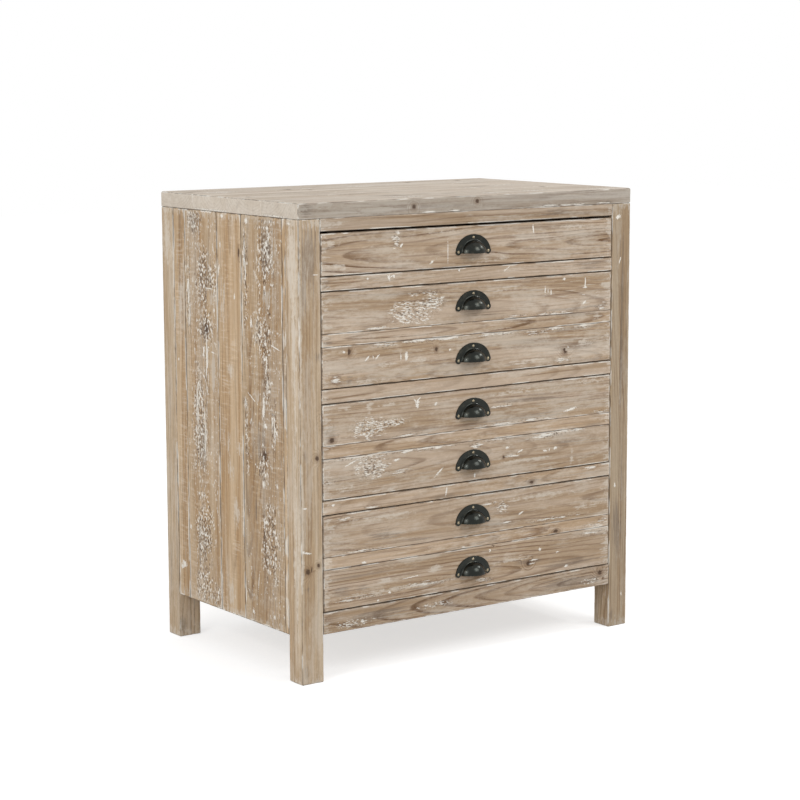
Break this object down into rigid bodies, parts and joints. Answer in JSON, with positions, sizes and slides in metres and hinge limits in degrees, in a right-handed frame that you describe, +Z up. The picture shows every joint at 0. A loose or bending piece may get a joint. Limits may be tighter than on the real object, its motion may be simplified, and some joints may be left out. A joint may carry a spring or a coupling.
{
  "type": "seed storage cabinet",
  "caption": "Floor-standing chest in limed reclaimed pine on square legs, with inset drawers that look like shallow ones, and dished cup pulls.",
  "frame": {"origin": "on the floor, at the middle of the box that reaches from the cup pulls at the front to the top's rear edge", "axes": "+Z up, -Y out of the drawer fronts, +X to the right when looking at the fronts"},
  "size_m": [0.8, 0.522, 0.9],
  "materials": {
    "front_wood": "limed reclaimed pine, matt",
    "side_wood": "limed reclaimed pine with rough saw marks, matt",
    "inner_wood": "plain sawn pine, unfinished",
    "pull_metal": "dark antique bronze, satin",
    "screw_metal": "antique brass, rubbed"
  },
  "bodies": {
    "carcass": {"back_boards": "inner_wood", "bottom_front_rail": "front_wood", "drawer_1_left_runner": "inner_wood", "drawer_1_right_runner": "inner_wood", "drawer_2_left_runner": "inner_wood", "drawer_2_right_runner": "inner_wood", "drawer_3_left_runner": "inner_wood", "drawer_3_right_runner": "inner_wood", "drawer_4_left_runner": "inner_wood", "drawer_4_right_runner": "inner_wood", "front_left_post": "front_wood", "front_right_post": "front_wood", "kickers": "inner_wood", "left_side_boards": "side_wood", "middle_rail_1": "front_wood", "middle_rail_2": "front_wood", "middle_rail_3": "front_wood", "rear_left_post": "front_wood", "rear_rails": "inner_wood", "rear_right_post": "front_wood", "right_side_boards": "side_wood", "top_boards": "front_wood", "top_front_rail": "front_wood"},
    "drawer_1": {"cup_pull_1": "pull_metal", "drawer_1_back": "inner_wood", "drawer_1_bottom": "inner_wood", "drawer_1_front": "front_wood", "drawer_1_left_side": "inner_wood", "drawer_1_pull_screws": "screw_metal", "drawer_1_right_side": "inner_wood"},
    "drawer_2": {"cup_pull_2": "pull_metal", "cup_pull_3": "pull_metal", "drawer_2_back": "inner_wood", "drawer_2_bottom": "inner_wood", "drawer_2_front_batten": "front_wood", "drawer_2_left_side": "inner_wood", "drawer_2_lower_front": "front_wood", "drawer_2_pull_screws": "screw_metal", "drawer_2_right_side": "inner_wood", "drawer_2_upper_front": "front_wood"},
    "drawer_3": {"cup_pull_4": "pull_metal", "cup_pull_5": "pull_metal", "drawer_3_back": "inner_wood", "drawer_3_bottom": "inner_wood", "drawer_3_front_batten": "front_wood", "drawer_3_left_side": "inner_wood", "drawer_3_lower_front": "front_wood", "drawer_3_pull_screws": "screw_metal", "drawer_3_right_side": "inner_wood", "drawer_3_upper_front": "front_wood"},
    "drawer_4": {"cup_pull_6": "pull_metal", "cup_pull_7": "pull_metal", "drawer_4_back": "inner_wood", "drawer_4_bottom": "inner_wood", "drawer_4_front_batten": "front_wood", "drawer_4_left_side": "inner_wood", "drawer_4_lower_front": "front_wood", "drawer_4_pull_screws": "screw_metal", "drawer_4_right_side": "inner_wood", "drawer_4_upper_front": "front_wood"}
  },
  "joints": [
    {"name": "drawer_1_slide", "type": "slide", "parent": "carcass", "child": "drawer_1", "axis": [0, -1, 0], "range_m": [0, 0.34]},
    {"name": "drawer_2_slide", "type": "slide", "parent": "carcass", "child": "drawer_2", "axis": [0, -1, 0], "range_m": [0, 0.34]},
    {"name": "drawer_3_slide", "type": "slide", "parent": "carcass", "child": "drawer_3", "axis": [0, -1, 0], "range_m": [0, 0.34]},
    {"name": "drawer_4_slide", "type": "slide", "parent": "carcass", "child": "drawer_4", "axis": [0, -1, 0], "range_m": [0, 0.34]}
  ]
}
